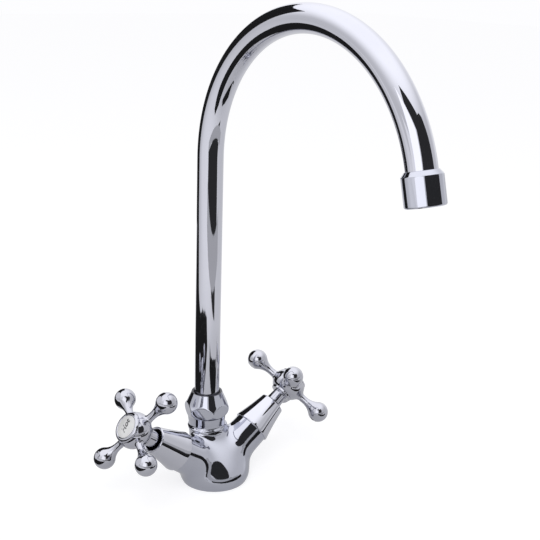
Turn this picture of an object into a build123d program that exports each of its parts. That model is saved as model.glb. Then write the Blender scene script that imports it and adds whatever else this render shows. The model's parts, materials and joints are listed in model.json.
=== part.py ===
from build123d import *
import math
import os

# A deck-mounted kitchen mixer with two cross handles and a swan-neck swivel spout.
# The origin is the centre of the base's underside, on the worktop. +Z is up and the spout
# pours towards -Y. The left handle lies towards -X. All sizes are in millimetres.

# ---------------------------------------------------------------- body casting
base_d = 50.0
base_foot_inset = 1.5
base_rim_z = 6.0
waist_d = 38.0
waist_y = 4.0
waist_z = 20.0
shoulder_z = 38.8
shoulder_lip = 0.3
neck_d = 28.4
neck_waist_d = 26.6
neck_thread_d = 25.0
neck_top_z = 54.0
blend_r = 8.0

# ------------------------------------------------------------------- the arms
arm_tilt = 36.3
arm_root_z = 6.1
arm_length = 41.2
arm_end_step = 0.95
arm_start = 10.0

# ---------------------------------------------- what is cut into the casting
inlet_thread_d = 9.0
inlet_depth = 12.0
inlet_x = 9.2
inlet_y = 2.5
stud_thread_d = 6.8
stud_depth = 14.0
stud_y = -11.5
seal_groove_d = 42.8
seal_groove_width = 2.8
seal_groove_depth = 1.6
feed_d = 6.4
feed_end = 13.0
outlet_d = 5.6
outlet_start_y = 2.0
chamber_floor_z = 25.0

# ------------------------------------------------------------------ the spout
swivel_y = 11.3
swivel_bore_d = 14.0
tube_d = 18.0
tube_wall = 1.0
riser_top_z = 237.8
arch_r = 97.6
arch_angle = 165.4
tube_tail = 8.0

# ---------------------------------------------------- the spout's swivel joint
slide_washer_h = 1.0
spigot_flange_d = 23.8
spigot_flange_h = 2.35
spigot_depth = 14.0
spigot_bore_d = 8.4
spigot_boss_h = 8.0
spout_o_ring_d = 1.5
spout_o_ring_pitch = 5.0
spout_groove_spare = 0.5
thrust_ring_h = 0.9
thrust_ring_split = 8.0
nut_bottom_z = 47.0
nut_skirt_z = 50.2
nut_corner_z = 53.7
nut_cone_z = 55.4
nut_top_z = 64.8
nut_across_flats = 29.0
nut_bottom_d = 28.6
nut_corner_d = 33.2
nut_cone_d = 30.3
nut_top_d = 22.2
nut_countersink = 1.3
nut_turn = 12.0

# ------------------------------------------------------------ the outlet end
housing_d = 23.5
housing_length = 19.6
housing_cone_h = 2.8
housing_edge = 0.7
housing_top_wall = 1.6
housing_bore_d = 19.7
housing_lip_h = 1.8
housing_lip_bore_d = 16.2
aerator_seal_h = 1.6
aerator_d = 19.3
aerator_barrel_d = 15.8
aerator_jet_d = 3.6
aerator_jet_r = 4.9
screen_h = 0.5
screen_recess = 0.5
screen_hole_d = 2.0
screen_inner_r = 3.0
screen_outer_r = 5.8

# ------------------------------------------- the valve pocket and its bonnet
pocket_thread_d = 20.7
pocket_thread_length = 6.0
gallery_step = 0.95
pocket_depth = 15.0
bonnet_foot = 1.0
collar_step = 1.6
bonnet_collar_h = 4.2
bonnet_hex = 17.0
bonnet_hex_h = 5.6
bonnet_neck_d = 12.4
bonnet_top = 17.5
bonnet_chamber_d = 17.2
bonnet_roof = -3.0
window_width = 8.0
window_h = 4.0

# ------------------------------------- what turns and seals inside the bonnet
disc_d = 16.6
disc_h = 3.0
disc_ear_width = 3.0
disc_ear_reach = 9.4
port_inner_d = 4.4
port_outer_d = 13.2
port_angle = 76.0
seat_seal_h = 3.2
seat_seal_wall = 2.1
spindle_d = 8.0
spindle_square = 5.6
spindle_shank_above = 1.5
spindle_top = 37.0
spindle_tap_depth = 11.0
stop_angle = 40.0
stop_inner_d = 11.2
stop_h = 1.5
stop_spare_angle = 2.0
quarter_turn = 90.0
dog_width = 3.0
dog_depth = 1.5
dog_inner_r = 3.4
dog_outer_r = 6.4
spindle_o_ring_d = 1.24
spindle_o_ring_z = 7.0
spindle_groove_spare = 0.4
circlip_h = 0.8
circlip_d = 11.6
circlip_gap_angle = 70.0
circlip_groove_d = 6.7

# ------------------------------------------------- the bell over each bonnet
bell_length = 25.2
bell_foot_step = 0.85
bell_foot_h = 1.1
bell_foot_edge = 0.3
bell_skirt_wall = 1.55
bell_skirt_z = 4.4
bell_waist_d = 22.4
bell_waist_z = 15.0
bell_top_d = 19.2
bell_wall = 1.1

# ------------------------- the valve's thread sets how wide the pieces round it are
pocket_gallery_d = pocket_thread_d + 2 * gallery_step
bonnet_collar_d = pocket_thread_d + 2 * collar_step
bell_skirt_d = bonnet_collar_d + 2 * bell_skirt_wall
bell_foot_d = bell_skirt_d + 2 * bell_foot_step
arm_end_d = bell_foot_d - 2 * arm_end_step

# -------------------------------------------------------------- the handles
hub_reach = 43.1
hub_d = 25.6
hub_top_d = 21.8
hub_top = 7.1
hub_neck_d = 17.9
hub_neck = -6.8
hub_lip_d = 18.7
hub_lip_h = 1.9
stem_d = 9.4
stem_bottom = 19.4
hub_floor = 3.0
hub_socket_spare = 0.4
hub_recess_d = 16.0
spoke_reach = 30.7
ball_d = 15.1
spoke_root_d = 7.6
spoke_root_reach = 6.4
spoke_waist_d = 5.5
spoke_waist_reach = 17.2
spoke_fillet = 1.6
left_handle_turn = 62.4
right_handle_turn = 43.4
screw_d = 4.0
screw_length = 9.0
screw_head_d = 7.2
screw_head_h = 2.4
screw_socket = 2.5
screw_socket_floor = 0.9
screw_hole_d = 4.3
bezel_d = 21.4
bezel_h = 2.2
bezel_floor_h = 0.7
bezel_spigot_h = 2.7
bezel_spigot_wall = 1.3
index_d = 17.8
index_h = 1.5
index_crown = 0.4

# ------------------------------------------------------------------ clearances
running_gap = 0.05      # radial, and between faces that slide
thread_gap = 0.05       # between two threads, drawn plain
seat_gap = 0.05         # round a piece that is pressed or seated by hand
tube_gap = 0.25         # round the spout tube where it leaves its nut
edge_break = 0.5        # the small chamfer on turned edges
cut_past = 1.0          # how far a cut runs past the face it opens
overlap = 0.2           # how far two parts of one piece run into each other

# ------------------------------------- how a blank lies on the point it is placed at
standing = (Align.CENTER, Align.CENTER, Align.MIN)
hanging = (Align.CENTER, Align.CENTER, Align.MAX)
hanging_outwards = (Align.CENTER, Align.MIN, Align.MAX)


def tube_ring(outer_d, inner_d, bottom, height):
    """A plain ring about Z that stands on the height called bottom."""
    ring = Cylinder(outer_d / 2, height, align=standing)
    if inner_d > 0:
        ring -= Cylinder(inner_d / 2, height, align=standing)
    return Pos(0, 0, bottom) * ring


def rod(diameter, bottom, height):
    """A plain round bar about Z."""
    return tube_ring(diameter, 0, bottom, height)


def turned(outline):
    """Turns a closed outline of edges, drawn as radius and height, about Z."""
    return revolve(Plane.XZ * make_face(outline), Axis.Z)


def turned_corners(corners):
    """Turns a closed outline of straight lines about Z."""
    return turned(Polyline(*corners, close=True))


def wedge(inner_d, outer_d, angle, middle, bottom, height):
    """A slice of a ring: angle is its width and middle the direction it points in."""
    start = math.radians(middle - angle / 2)
    end = math.radians(middle + angle / 2)
    half = math.radians(middle)
    inner, outer = inner_d / 2, outer_d / 2

    def at(radius, direction):
        return (radius * math.cos(direction), radius * math.sin(direction))

    outline = [
        Line(at(inner, start), at(outer, start)),
        ThreePointArc(at(outer, start), at(outer, half), at(outer, end)),
        Line(at(outer, end), at(inner, end)),
        ThreePointArc(at(inner, end), at(inner, half), at(inner, start)),
    ]
    return Pos(0, 0, bottom) * extrude(make_face(outline), height)


def o_ring(section_d, outer_d, height):
    """A rubber ring with a round section, about Z, its outside at outer_d."""
    ring = Torus((outer_d - section_d) / 2, section_d / 2)
    return Pos(0, 0, height) * ring


# ------------------------------------------------------------ where things lie
def on_arm(side):
    """The frame of one arm's end face: Z runs out along the arm. side is -1 or 1."""
    tilt = math.radians(arm_tilt)
    outwards = Vector(side * math.cos(tilt), 0, math.sin(tilt))
    centre = Vector(0, 0, arm_root_z) + outwards * arm_length
    return Plane(origin=centre, x_dir=(0, side, 0), z_dir=outwards).location


def arch_end():
    """The frame of the arch's lower end: Z runs on the way the water leaves."""
    angle = math.radians(arch_angle)
    end_y = swivel_y - arch_r + arch_r * math.cos(angle)
    end_z = riser_top_z + arch_r * math.sin(angle)
    onwards = Vector(0, -math.sin(angle), math.cos(angle))
    return Plane(origin=(0, end_y, end_z), x_dir=(1, 0, 0), z_dir=onwards).location


on_swivel = Pos(0, swivel_y, 0)
washer_top_z = neck_top_z + slide_washer_h
flange_bottom_z = washer_top_z + running_gap
tube_bottom_z = flange_bottom_z + spigot_flange_h
thrust_ring_z = tube_bottom_z + running_gap
nut_shoulder_z = thrust_ring_z + thrust_ring_h + running_gap
spigot_d = swivel_bore_d - 2 * running_gap
barrel_d = pocket_thread_d - 2 * thread_gap
ports_floor = -pocket_depth + seat_seal_h + seat_gap
moving_disc_floor = ports_floor + disc_h + running_gap
flange_floor = moving_disc_floor + disc_h + running_gap
spindle_bore_d = spindle_d + 2 * running_gap
hub_face = hub_reach + hub_top
hub_floor_bottom = spindle_top + hub_socket_spare
hub_floor_top = hub_floor_bottom + hub_floor


# ------------------------------------------------------------- the body casting
def body_blank():
    """The casting's outside: a leaning cone from base to neck with an arm each side."""
    with BuildPart() as core:
        with BuildSketch():
            Circle(base_d / 2 - base_foot_inset)
        with BuildSketch(Plane.XY.offset(base_rim_z)):
            Circle(base_d / 2)
        with BuildSketch(Plane.XY.offset(waist_z)):
            with Locations((0, waist_y)):
                Circle(waist_d / 2)
        with BuildSketch(Plane.XY.offset(shoulder_z)):
            with Locations((0, swivel_y)):
                Circle(neck_d / 2 + shoulder_lip)
        loft()
    blank = core.part
    arm_run = arm_length - arm_start
    for side in (-1, 1):
        arm = Cylinder(arm_end_d / 2, arm_run, align=hanging)
        blank += on_arm(side) * arm
    seams = [edge for edge in blank.edges() if is_arm_seam(edge)]
    return blank.fillet(blend_r, seams)


def is_arm_seam(edge):
    """Whether an edge is one where an arm grows out of the cone."""
    middle = edge.center()
    on_rim = middle.Z < base_foot_inset or middle.Z > shoulder_z - base_foot_inset
    return edge.geom_type == GeomType.BSPLINE and not on_rim


def body_casting():
    """The brass body: inlets, valve pockets, mixing chamber and the spout's neck."""
    body = body_blank()
    neck_h = nut_bottom_z - shoulder_z - seat_gap
    neck = Cone(neck_d / 2, neck_waist_d / 2, neck_h, align=standing)
    body += on_swivel * Pos(0, 0, shoulder_z) * neck
    body += on_swivel * rod(neck_thread_d, shoulder_z, neck_top_z - shoulder_z)
    chamber_h = neck_top_z - chamber_floor_z
    body -= on_swivel * rod(swivel_bore_d, chamber_floor_z, chamber_h)
    body -= tube_ring(
        seal_groove_d, seal_groove_d - 2 * seal_groove_width, 0, seal_groove_depth
    )
    body -= Pos(0, stud_y, 0) * rod(stud_thread_d, 0, stud_depth)
    for side in (-1, 1):
        pocket = rod(pocket_thread_d, -pocket_depth, pocket_depth)
        gallery_h = pocket_depth - pocket_thread_length
        pocket += rod(pocket_gallery_d, -pocket_depth, gallery_h)
        feed_h = arm_length - pocket_depth - feed_end
        pocket += rod(feed_d, -pocket_depth - feed_h, feed_h)
        body -= on_arm(side) * pocket
        body -= Pos(side * inlet_x, inlet_y, 0) * rod(inlet_thread_d, 0, inlet_depth)
        body -= outlet_passage(side)
    return body


def outlet_passage(side):
    """The drilling from one valve's gallery to the mixing chamber."""
    gallery_middle = -pocket_depth + (pocket_depth - pocket_thread_length) / 2
    start = (on_arm(side) * Pos(0, outlet_start_y, gallery_middle)).position
    end = Vector(0, swivel_y, chamber_floor_z + outlet_d / 2)
    run = end - start
    return Plane(origin=start, z_dir=run).location * rod(outlet_d, 0, run.length)


def base_seal():
    """The flat rubber ring in the groove under the base."""
    outer_d = seal_groove_d - 2 * seat_gap
    inner_d = seal_groove_d - 2 * seal_groove_width + 2 * seat_gap
    return tube_ring(outer_d, inner_d, 0, seal_groove_depth - seat_gap)


# ------------------------------------------------------------ the swivel joint
def spout_nut():
    """The domed hexagon nut that holds the spout down on the neck."""
    bottom_r, corner_r = nut_bottom_d / 2, nut_corner_d / 2
    cone_r, top_r = nut_cone_d / 2, nut_top_d / 2
    rim_z = nut_top_z - edge_break
    skirt = ((bottom_r + 2 * corner_r) / 3, (nut_bottom_z + nut_skirt_z) / 2)
    knee = ((corner_r * 2 + cone_r) / 3, (nut_corner_z + nut_cone_z) / 2)
    dome = [
        Line((0, nut_bottom_z), (bottom_r, nut_bottom_z)),
        ThreePointArc((bottom_r, nut_bottom_z), skirt, (corner_r, nut_skirt_z)),
        Line((corner_r, nut_skirt_z), (corner_r, nut_corner_z)),
        ThreePointArc((corner_r, nut_corner_z), knee, (cone_r, nut_cone_z)),
        Line((cone_r, nut_cone_z), (top_r, rim_z)),
        Line((top_r, rim_z), (top_r - edge_break, nut_top_z)),
        Line((top_r - edge_break, nut_top_z), (0, nut_top_z)),
        Line((0, nut_top_z), (0, nut_bottom_z)),
    ]
    flats = RegularPolygon(nut_across_flats / 2, 6, major_radius=False, rotation=nut_turn)
    prism = Pos(0, 0, nut_bottom_z) * extrude(flats, nut_top_z - nut_bottom_z)
    nut = turned(dome) & prism
    thread_bore = neck_thread_d + 2 * thread_gap
    nut -= rod(thread_bore, nut_bottom_z, nut_shoulder_z - nut_bottom_z)
    bore_r = tube_d / 2 + tube_gap
    nut -= rod(2 * bore_r, nut_shoulder_z, nut_top_z - nut_shoulder_z)
    countersink = Cone(bore_r, bore_r + nut_countersink, nut_countersink, align=hanging)
    nut -= Pos(0, 0, nut_top_z) * countersink
    return on_swivel * nut


def spout_slide_washer():
    """The plastic washer that the spout's flange turns on."""
    return on_swivel * tube_ring(
        spigot_flange_d, swivel_bore_d + 2 * seat_gap, neck_top_z, slide_washer_h
    )


def spout_thrust_ring():
    """The split plastic ring between the spout's flange and the nut's shoulder."""
    inner_d = tube_d + 4 * running_gap
    ring = tube_ring(spigot_flange_d, inner_d, thrust_ring_z, thrust_ring_h)
    split_d = spigot_flange_d + cut_past
    ring -= wedge(
        inner_d - cut_past, split_d, thrust_ring_split, 90, thrust_ring_z, thrust_ring_h
    )
    return on_swivel * ring


def o_ring_heights():
    """The heights of the two rubber rings on the spigot."""
    upper = flange_bottom_z - slide_washer_h - spout_o_ring_pitch
    return (upper, upper - spout_o_ring_pitch)


def spout_spigot():
    """The turned brass spigot at the foot of the spout, in the neck's bore."""
    spigot = rod(spigot_d, flange_bottom_z - spigot_depth, spigot_depth)
    spigot += rod(spigot_flange_d, flange_bottom_z, spigot_flange_h)
    boss_d = tube_d - 2 * tube_wall - 2 * seat_gap
    spigot += rod(boss_d, tube_bottom_z, spigot_boss_h)
    groove_d = spigot_d - 2 * spout_o_ring_d
    groove_h = spout_o_ring_d + spout_groove_spare
    for height in o_ring_heights():
        spigot -= tube_ring(spigot_d, groove_d, height - groove_h / 2, groove_h)
    whole_h = spigot_depth + spigot_flange_h + spigot_boss_h
    spigot -= rod(spigot_bore_d, flange_bottom_z - spigot_depth, whole_h)
    return on_swivel * spigot


def spout_o_rings():
    """The two rubber rings that seal the spigot."""
    lower, upper = [o_ring(spout_o_ring_d, spigot_d, z) for z in o_ring_heights()]
    return on_swivel * Compound([lower, upper])


def spout_tube():
    """The swan-neck tube: a straight riser, the arch, and a short tail in the collar."""
    foot = Vector(0, swivel_y, tube_bottom_z)
    riser_top = Vector(0, swivel_y, riser_top_z)
    riser = Line(foot, riser_top)
    middle = math.radians(arch_angle / 2)
    crown = Vector(
        0,
        swivel_y - arch_r + arch_r * math.cos(middle),
        riser_top_z + arch_r * math.sin(middle),
    )
    end = arch_end()
    arch = ThreePointArc(riser_top, crown, end.position)
    tail = Line(end.position, (end * Pos(0, 0, tube_tail)).position)
    section = Plane(origin=foot, z_dir=(0, 0, 1)) * (
        Circle(tube_d / 2) - Circle(tube_d / 2 - tube_wall)
    )
    return sweep(section, path=Wire([riser, arch, tail]))


# --------------------------------------------------------------- the outlet end
def outlet_ferrule():
    """The threaded ring brazed on the tube's end."""
    outer_d = housing_bore_d - 2 * thread_gap
    bottom = housing_top_wall + seat_gap
    ring = tube_ring(outer_d, tube_d + 2 * seat_gap, bottom, tube_tail - bottom)
    return arch_end() * ring


def aerator_housing():
    """The collar round the outlet, with its cone at the top and a lip below."""
    top_r, outer_r = tube_d / 2 + edge_break, housing_d / 2
    corners = [
        (0, 0),
        (top_r, 0),
        (outer_r, housing_cone_h),
        (outer_r, housing_length - housing_edge),
        (outer_r - housing_edge, housing_length),
        (0, housing_length),
    ]
    housing = turned_corners(corners)
    bore_h = housing_length - housing_top_wall - housing_lip_h
    housing -= rod(housing_bore_d, housing_top_wall, bore_h)
    housing -= rod(tube_d + 2 * seat_gap, 0, housing_top_wall)
    housing -= rod(housing_lip_bore_d, housing_length - housing_lip_h, housing_lip_h)
    return arch_end() * housing


seal_start = tube_tail + seat_gap
aerator_start = seal_start + aerator_seal_h + seat_gap
lip_start = housing_length - housing_lip_h
screen_start = housing_length - screen_recess - screen_h


def aerator_seal():
    """The flat rubber ring between the tube's end and the aerator."""
    inner_d = tube_d - 2 * tube_wall
    ring = tube_ring(aerator_d, inner_d, seal_start, aerator_seal_h)
    return arch_end() * ring


def aerator_cartridge():
    """The plastic insert that mixes air into the water: a flange and a drilled barrel."""
    flange_h = lip_start - seat_gap - aerator_start
    barrel_h = screen_start - seat_gap - aerator_start
    cartridge = rod(aerator_d, aerator_start, flange_h)
    cartridge += rod(aerator_barrel_d, aerator_start, barrel_h)
    for hole in [Pos(0, 0, 0), *PolarLocations(aerator_jet_r, 6)]:
        cartridge -= hole * rod(aerator_jet_d, aerator_start, barrel_h)
    return arch_end() * cartridge


def aerator_screen():
    """The thin drilled disc in the mouth of the outlet."""
    screen = rod(aerator_barrel_d, screen_start, screen_h)
    rings = [*PolarLocations(screen_inner_r, 6), *PolarLocations(screen_outer_r, 12)]
    for hole in [Pos(0, 0, 0), *rings]:
        screen -= hole * rod(screen_hole_d, screen_start, screen_h)
    return arch_end() * screen


# ------------------------------------------------------- the valves, on each arm
def valve_bonnet(side):
    """The brass headwork: thread, collar, hexagon and neck, hollow for the discs."""
    bottom = -pocket_depth + bonnet_foot
    bonnet = rod(barrel_d, bottom, -bottom)
    bonnet += rod(bonnet_collar_d, 0, bonnet_collar_h)
    hexagon = RegularPolygon(bonnet_hex / 2, 6, major_radius=False)
    bonnet += Pos(0, 0, bonnet_collar_h) * extrude(hexagon, bonnet_hex_h)
    bonnet += rod(bonnet_neck_d, 0, bonnet_top)
    bonnet -= rod(bonnet_chamber_d, bottom, bonnet_roof - bottom)
    bonnet -= rod(spindle_bore_d, bonnet_roof, bonnet_top - bonnet_roof)
    for across in (-1, 1):
        slot_h = moving_disc_floor - bottom
        slot_width = disc_ear_width + 2 * seat_gap
        slot = Box(pocket_thread_d / 2, slot_width, slot_h, align=Align.MIN)
        bonnet -= Rot(0, 0, 90 - 90 * across) * Pos(0, -slot_width / 2, bottom) * slot
        window = Box(window_width, pocket_thread_d / 2, window_h, align=Align.MIN)
        lift = Pos(-window_width / 2, 0, moving_disc_floor + seat_gap)
        bonnet -= Rot(0, 0, 90 - 90 * across) * lift * window
    bonnet += stop_lug(side)
    return on_arm(side) * bonnet


def stop_middle(side):
    """The direction of the bonnet's stop lug: a valve opens the other way on the right."""
    return -90 * side


def stop_lug(side):
    """The lug under the bonnet's roof that the spindle's flange runs against."""
    outer_d = bonnet_chamber_d + overlap
    bottom = bonnet_roof - stop_h
    return wedge(stop_inner_d, outer_d, stop_angle, stop_middle(side), bottom, stop_h)


def valve_spindle(side):
    """The spindle: drive dogs, a flange with the quarter-turn notch, and a square top."""
    flange_h = bonnet_roof - running_gap - flange_floor
    spindle = rod(disc_d, flange_floor, flange_h)
    shank_top = bonnet_top + spindle_shank_above
    spindle += rod(spindle_d, flange_floor, shank_top - flange_floor)
    square = Rectangle(spindle_square, spindle_square)
    spindle += Pos(0, 0, shank_top) * extrude(square, spindle_top - shank_top)
    for across in (-1, 1):
        dog_length = dog_outer_r - dog_inner_r
        dog = Box(dog_width, dog_length, dog_depth + overlap, align=hanging_outwards)
        spindle += Rot(0, 0, 90 - 90 * across) * Pos(0, dog_inner_r, flange_floor + overlap) * dog
    notch_angle = quarter_turn + stop_angle + stop_spare_angle
    middle = stop_middle(side) + side * quarter_turn / 2
    notch_floor = bonnet_roof - stop_h - running_gap
    notch_h = stop_h + running_gap
    notch_inner_d = stop_inner_d - 4 * running_gap
    spindle -= wedge(notch_inner_d, disc_d + cut_past, notch_angle, middle, notch_floor, notch_h)
    groove_h = spindle_o_ring_d + spindle_groove_spare
    groove_d = spindle_d - 2 * spindle_o_ring_d
    spindle -= tube_ring(spindle_d, groove_d, spindle_o_ring_z - groove_h / 2, groove_h)
    spindle -= tube_ring(
        spindle_d, circlip_groove_d, bonnet_top + running_gap, circlip_h + 2 * seat_gap
    )
    spindle -= rod(screw_d, spindle_top - spindle_tap_depth, spindle_tap_depth)
    return on_arm(side) * spindle


def spindle_o_ring(side):
    """The rubber ring that keeps water in the bonnet."""
    return on_arm(side) * o_ring(spindle_o_ring_d, spindle_d, spindle_o_ring_z)


def spindle_circlip(side):
    """The open spring-steel ring that keeps the spindle in its bonnet."""
    inner_d = circlip_groove_d + 2 * seat_gap
    bottom = bonnet_top + running_gap + seat_gap
    clip = tube_ring(circlip_d, inner_d, bottom, circlip_h)
    gap_d = circlip_d + cut_past
    clip -= wedge(inner_d - cut_past, gap_d, circlip_gap_angle, 90, bottom, circlip_h)
    return on_arm(side) * clip


def moving_disc(side):
    """The upper ceramic disc, with two open sectors and the slots for the dogs."""
    disc = rod(disc_d, moving_disc_floor, disc_h)
    open_d = disc_d + cut_past
    for middle in (0, 180):
        disc -= wedge(port_inner_d, open_d, port_angle, middle, moving_disc_floor, disc_h)
    slot_depth = dog_depth + seat_gap
    slot_width = dog_width + 2 * seat_gap
    slot_length = dog_outer_r - dog_inner_r + 2 * seat_gap
    top = moving_disc_floor + disc_h
    for across in (-1, 1):
        slot = Box(slot_width, slot_length, slot_depth, align=hanging_outwards)
        disc -= Rot(0, 0, 90 - 90 * across) * Pos(0, dog_inner_r - seat_gap, top) * slot
    return on_arm(side) * disc


def fixed_disc(side):
    """The lower ceramic disc, with two ports and the ears that stop it turning."""
    disc = rod(disc_d, ports_floor, disc_h)
    ears = Box(2 * disc_ear_reach, disc_ear_width, disc_h, align=standing)
    disc += Pos(0, 0, ports_floor) * ears
    for middle in (90, 270):
        disc -= wedge(port_inner_d, port_outer_d, port_angle, middle, ports_floor, disc_h)
    return on_arm(side) * disc


def seat_seal(side):
    """The rubber sleeve that presses the fixed disc up and seals it on the seat."""
    outer_d = bonnet_chamber_d - 4 * seat_gap
    inner_d = outer_d - 2 * seat_seal_wall
    return on_arm(side) * tube_ring(outer_d, inner_d, -pocket_depth, seat_seal_h)


def bell_shroud(side):
    """The flared bell that covers the bonnet: it screws on the bonnet's collar."""
    foot_r, skirt_r = bell_foot_d / 2, bell_skirt_d / 2
    waist_r, top_r = bell_waist_d / 2, bell_top_d / 2
    mouth_z = bell_length - bell_wall / 2
    mouth_r = top_r - bell_wall
    outside = [
        Line((0, 0), (foot_r - bell_foot_edge, 0)),
        Line((foot_r - bell_foot_edge, 0), (foot_r, bell_foot_edge)),
        Line((foot_r, bell_foot_edge), (foot_r, bell_foot_h)),
        Line((foot_r, bell_foot_h), (skirt_r, bell_skirt_z)),
        ThreePointArc((skirt_r, bell_skirt_z), (waist_r, bell_waist_z), (top_r, mouth_z)),
        ThreePointArc((top_r, mouth_z), (top_r - bell_wall / 2, bell_length), (mouth_r, mouth_z)),
        Line((mouth_r, mouth_z), (0, mouth_z)),
        Line((0, mouth_z), (0, 0)),
    ]
    inner_skirt, inner_waist = skirt_r - bell_wall, waist_r - bell_wall
    hollow = [
        Line((0, bell_skirt_z), (inner_skirt, bell_skirt_z)),
        ThreePointArc((inner_skirt, bell_skirt_z), (inner_waist, bell_waist_z), (mouth_r, mouth_z)),
        Line((mouth_r, mouth_z), (0, mouth_z)),
        Line((0, mouth_z), (0, bell_skirt_z)),
    ]
    bell = turned(outside) - turned(hollow)
    bell -= rod(bonnet_collar_d + 2 * thread_gap, 0, bell_skirt_z)
    return on_arm(side) * bell


# ------------------------------------------------------------------ the handles
def spoke():
    """One spoke along X: it narrows from the hub to its waist and swells into its ball."""
    ball_r, waist_r = ball_d / 2, spoke_waist_d / 2
    to_ball = spoke_reach - spoke_waist_reach
    # the neck's arc is level at the waist and touches the ball without a corner
    neck_r = (to_ball**2 + waist_r**2 - ball_r**2) / (2 * (ball_r - waist_r))
    lean = math.atan2(waist_r + neck_r, to_ball)
    onto_ball = (spoke_reach - ball_r * math.cos(lean), ball_r * math.sin(lean))
    root = (spoke_root_reach, spoke_root_d / 2)
    waist = (spoke_waist_reach, waist_r)
    far_end = (spoke_reach + ball_r, 0)
    outline = [
        TangentArc(waist, root, tangent=(-1, 0)),
        TangentArc(waist, onto_ball, tangent=(1, 0)),
        ThreePointArc(onto_ball, (spoke_reach, ball_r), far_end),
        Line(far_end, (spoke_root_reach, 0)),
        Line((spoke_root_reach, 0), root),
    ]
    return revolve(make_face(outline), Axis.X)


def hub_blank():
    """The barrel of the hub, from its lip to the face under the bezel."""
    lip_r, neck_r, top_r = hub_lip_d / 2, hub_neck_d / 2, hub_top_d / 2
    lip_bottom = hub_neck - hub_lip_h
    lip_top = hub_neck - edge_break
    outline = [
        Line((0, lip_bottom), (lip_r - edge_break, lip_bottom)),
        Line((lip_r - edge_break, lip_bottom), (lip_r, lip_bottom + edge_break)),
        Line((lip_r, lip_bottom + edge_break), (lip_r, lip_top)),
        Line((lip_r, lip_top), (neck_r, hub_neck)),
        ThreePointArc((neck_r, hub_neck), (hub_d / 2, 0), (top_r, hub_top)),
        Line((top_r, hub_top), (0, hub_top)),
        Line((0, hub_top), (0, lip_bottom)),
    ]
    return turned(outline)


def handle_cross(side, turn):
    """The cast cross: hub, four ball-ended spokes and the hollow stem below."""
    # the hub's own seam line lies halfway between two spokes
    hub = Rot(0, 0, 45) * hub_blank()
    spokes = [Rot(0, 0, 90 * quarter) * spoke() for quarter in range(4)]
    cross = hub + spokes
    cross = cross.fillet(spoke_fillet, new_edges(hub, *spokes, combined=cross))
    cross = Pos(0, 0, hub_reach) * cross
    lip_bottom = hub_reach + hub_neck - hub_lip_h
    cross += rod(stem_d, stem_bottom, lip_bottom - stem_bottom)
    cross = Rot(0, 0, turn) * cross
    socket = Rectangle(spindle_square + 2 * seat_gap, spindle_square + 2 * seat_gap)
    cross -= Pos(0, 0, stem_bottom) * extrude(socket, hub_floor_bottom - stem_bottom)
    cross -= rod(screw_hole_d, hub_floor_bottom, hub_floor)
    cross -= rod(hub_recess_d, hub_floor_top, hub_face - hub_floor_top)
    return on_arm(side) * cross


def handle_screw(side):
    """The screw that holds the handle on its spindle."""
    shank_d = screw_d - 2 * thread_gap
    screw = rod(shank_d, hub_floor_top - screw_length, screw_length)
    screw += rod(screw_head_d, hub_floor_top, screw_head_h)
    recess = extrude(RegularPolygon(screw_socket / 2, 6, major_radius=False), screw_head_h)
    screw -= Pos(0, 0, hub_floor_top + screw_socket_floor) * recess
    return on_arm(side) * screw


def index_bezel(side):
    """The chromed ring on the hub's face, with a spigot that presses into the hub."""
    outer_r = bezel_d / 2
    corners = [
        (0, hub_face),
        (outer_r - edge_break, hub_face),
        (outer_r, hub_face + edge_break),
        (outer_r, hub_face + bezel_h - edge_break),
        (outer_r - edge_break, hub_face + bezel_h),
        (0, hub_face + bezel_h),
    ]
    bezel = turned_corners(corners)
    bezel += rod(hub_recess_d - 2 * seat_gap, hub_face - bezel_spigot_h, bezel_spigot_h)
    cup_d = index_d + 2 * seat_gap
    bezel -= rod(cup_d, hub_face + bezel_floor_h, bezel_h)
    inner_d = hub_recess_d - 2 * bezel_spigot_wall
    bezel -= rod(inner_d, hub_face - bezel_spigot_h, bezel_spigot_h + bezel_floor_h)
    return on_arm(side) * bezel


def index_disc(side):
    """The white glazed disc in the bezel, slightly crowned."""
    bottom = hub_face + bezel_floor_h
    height = index_h + index_crown
    crown_r = ((index_d / 2) ** 2 + index_crown**2) / (2 * index_crown)
    dome = Pos(0, 0, bottom + height - crown_r) * Sphere(crown_r)
    return on_arm(side) * (rod(index_d, bottom, height) & dome)


# ----------------------------------------------------------------- write it all
pieces = {
    "body_casting": body_casting(),
    "base_seal": base_seal(),
    "spout_nut": spout_nut(),
    "spout_slide_washer": spout_slide_washer(),
    "spout_thrust_ring": spout_thrust_ring(),
    "spout_tube": spout_tube(),
    "spout_spigot": spout_spigot(),
    "spout_o_rings": spout_o_rings(),
    "outlet_ferrule": outlet_ferrule(),
    "aerator_housing": aerator_housing(),
    "aerator_seal": aerator_seal(),
    "aerator_cartridge": aerator_cartridge(),
    "aerator_screen": aerator_screen(),
}
for name, side, turn in (("left", -1, left_handle_turn), ("right", 1, right_handle_turn)):
    pieces[name + "_valve_bonnet"] = valve_bonnet(side)
    pieces[name + "_seat_seal"] = seat_seal(side)
    pieces[name + "_fixed_disc"] = fixed_disc(side)
    pieces[name + "_moving_disc"] = moving_disc(side)
    pieces[name + "_spindle"] = valve_spindle(side)
    pieces[name + "_spindle_o_ring"] = spindle_o_ring(side)
    pieces[name + "_circlip"] = spindle_circlip(side)
    pieces[name + "_bell_shroud"] = bell_shroud(side)
    pieces[name + "_handle_cross"] = handle_cross(side, turn)
    pieces[name + "_handle_screw"] = handle_screw(side)
    pieces[name + "_index_bezel"] = index_bezel(side)
    pieces[name + "_index_disc"] = index_disc(side)

os.makedirs("parts", exist_ok=True)
for name, piece in pieces.items():
    export_step(piece, "parts/" + name + ".step")
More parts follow.
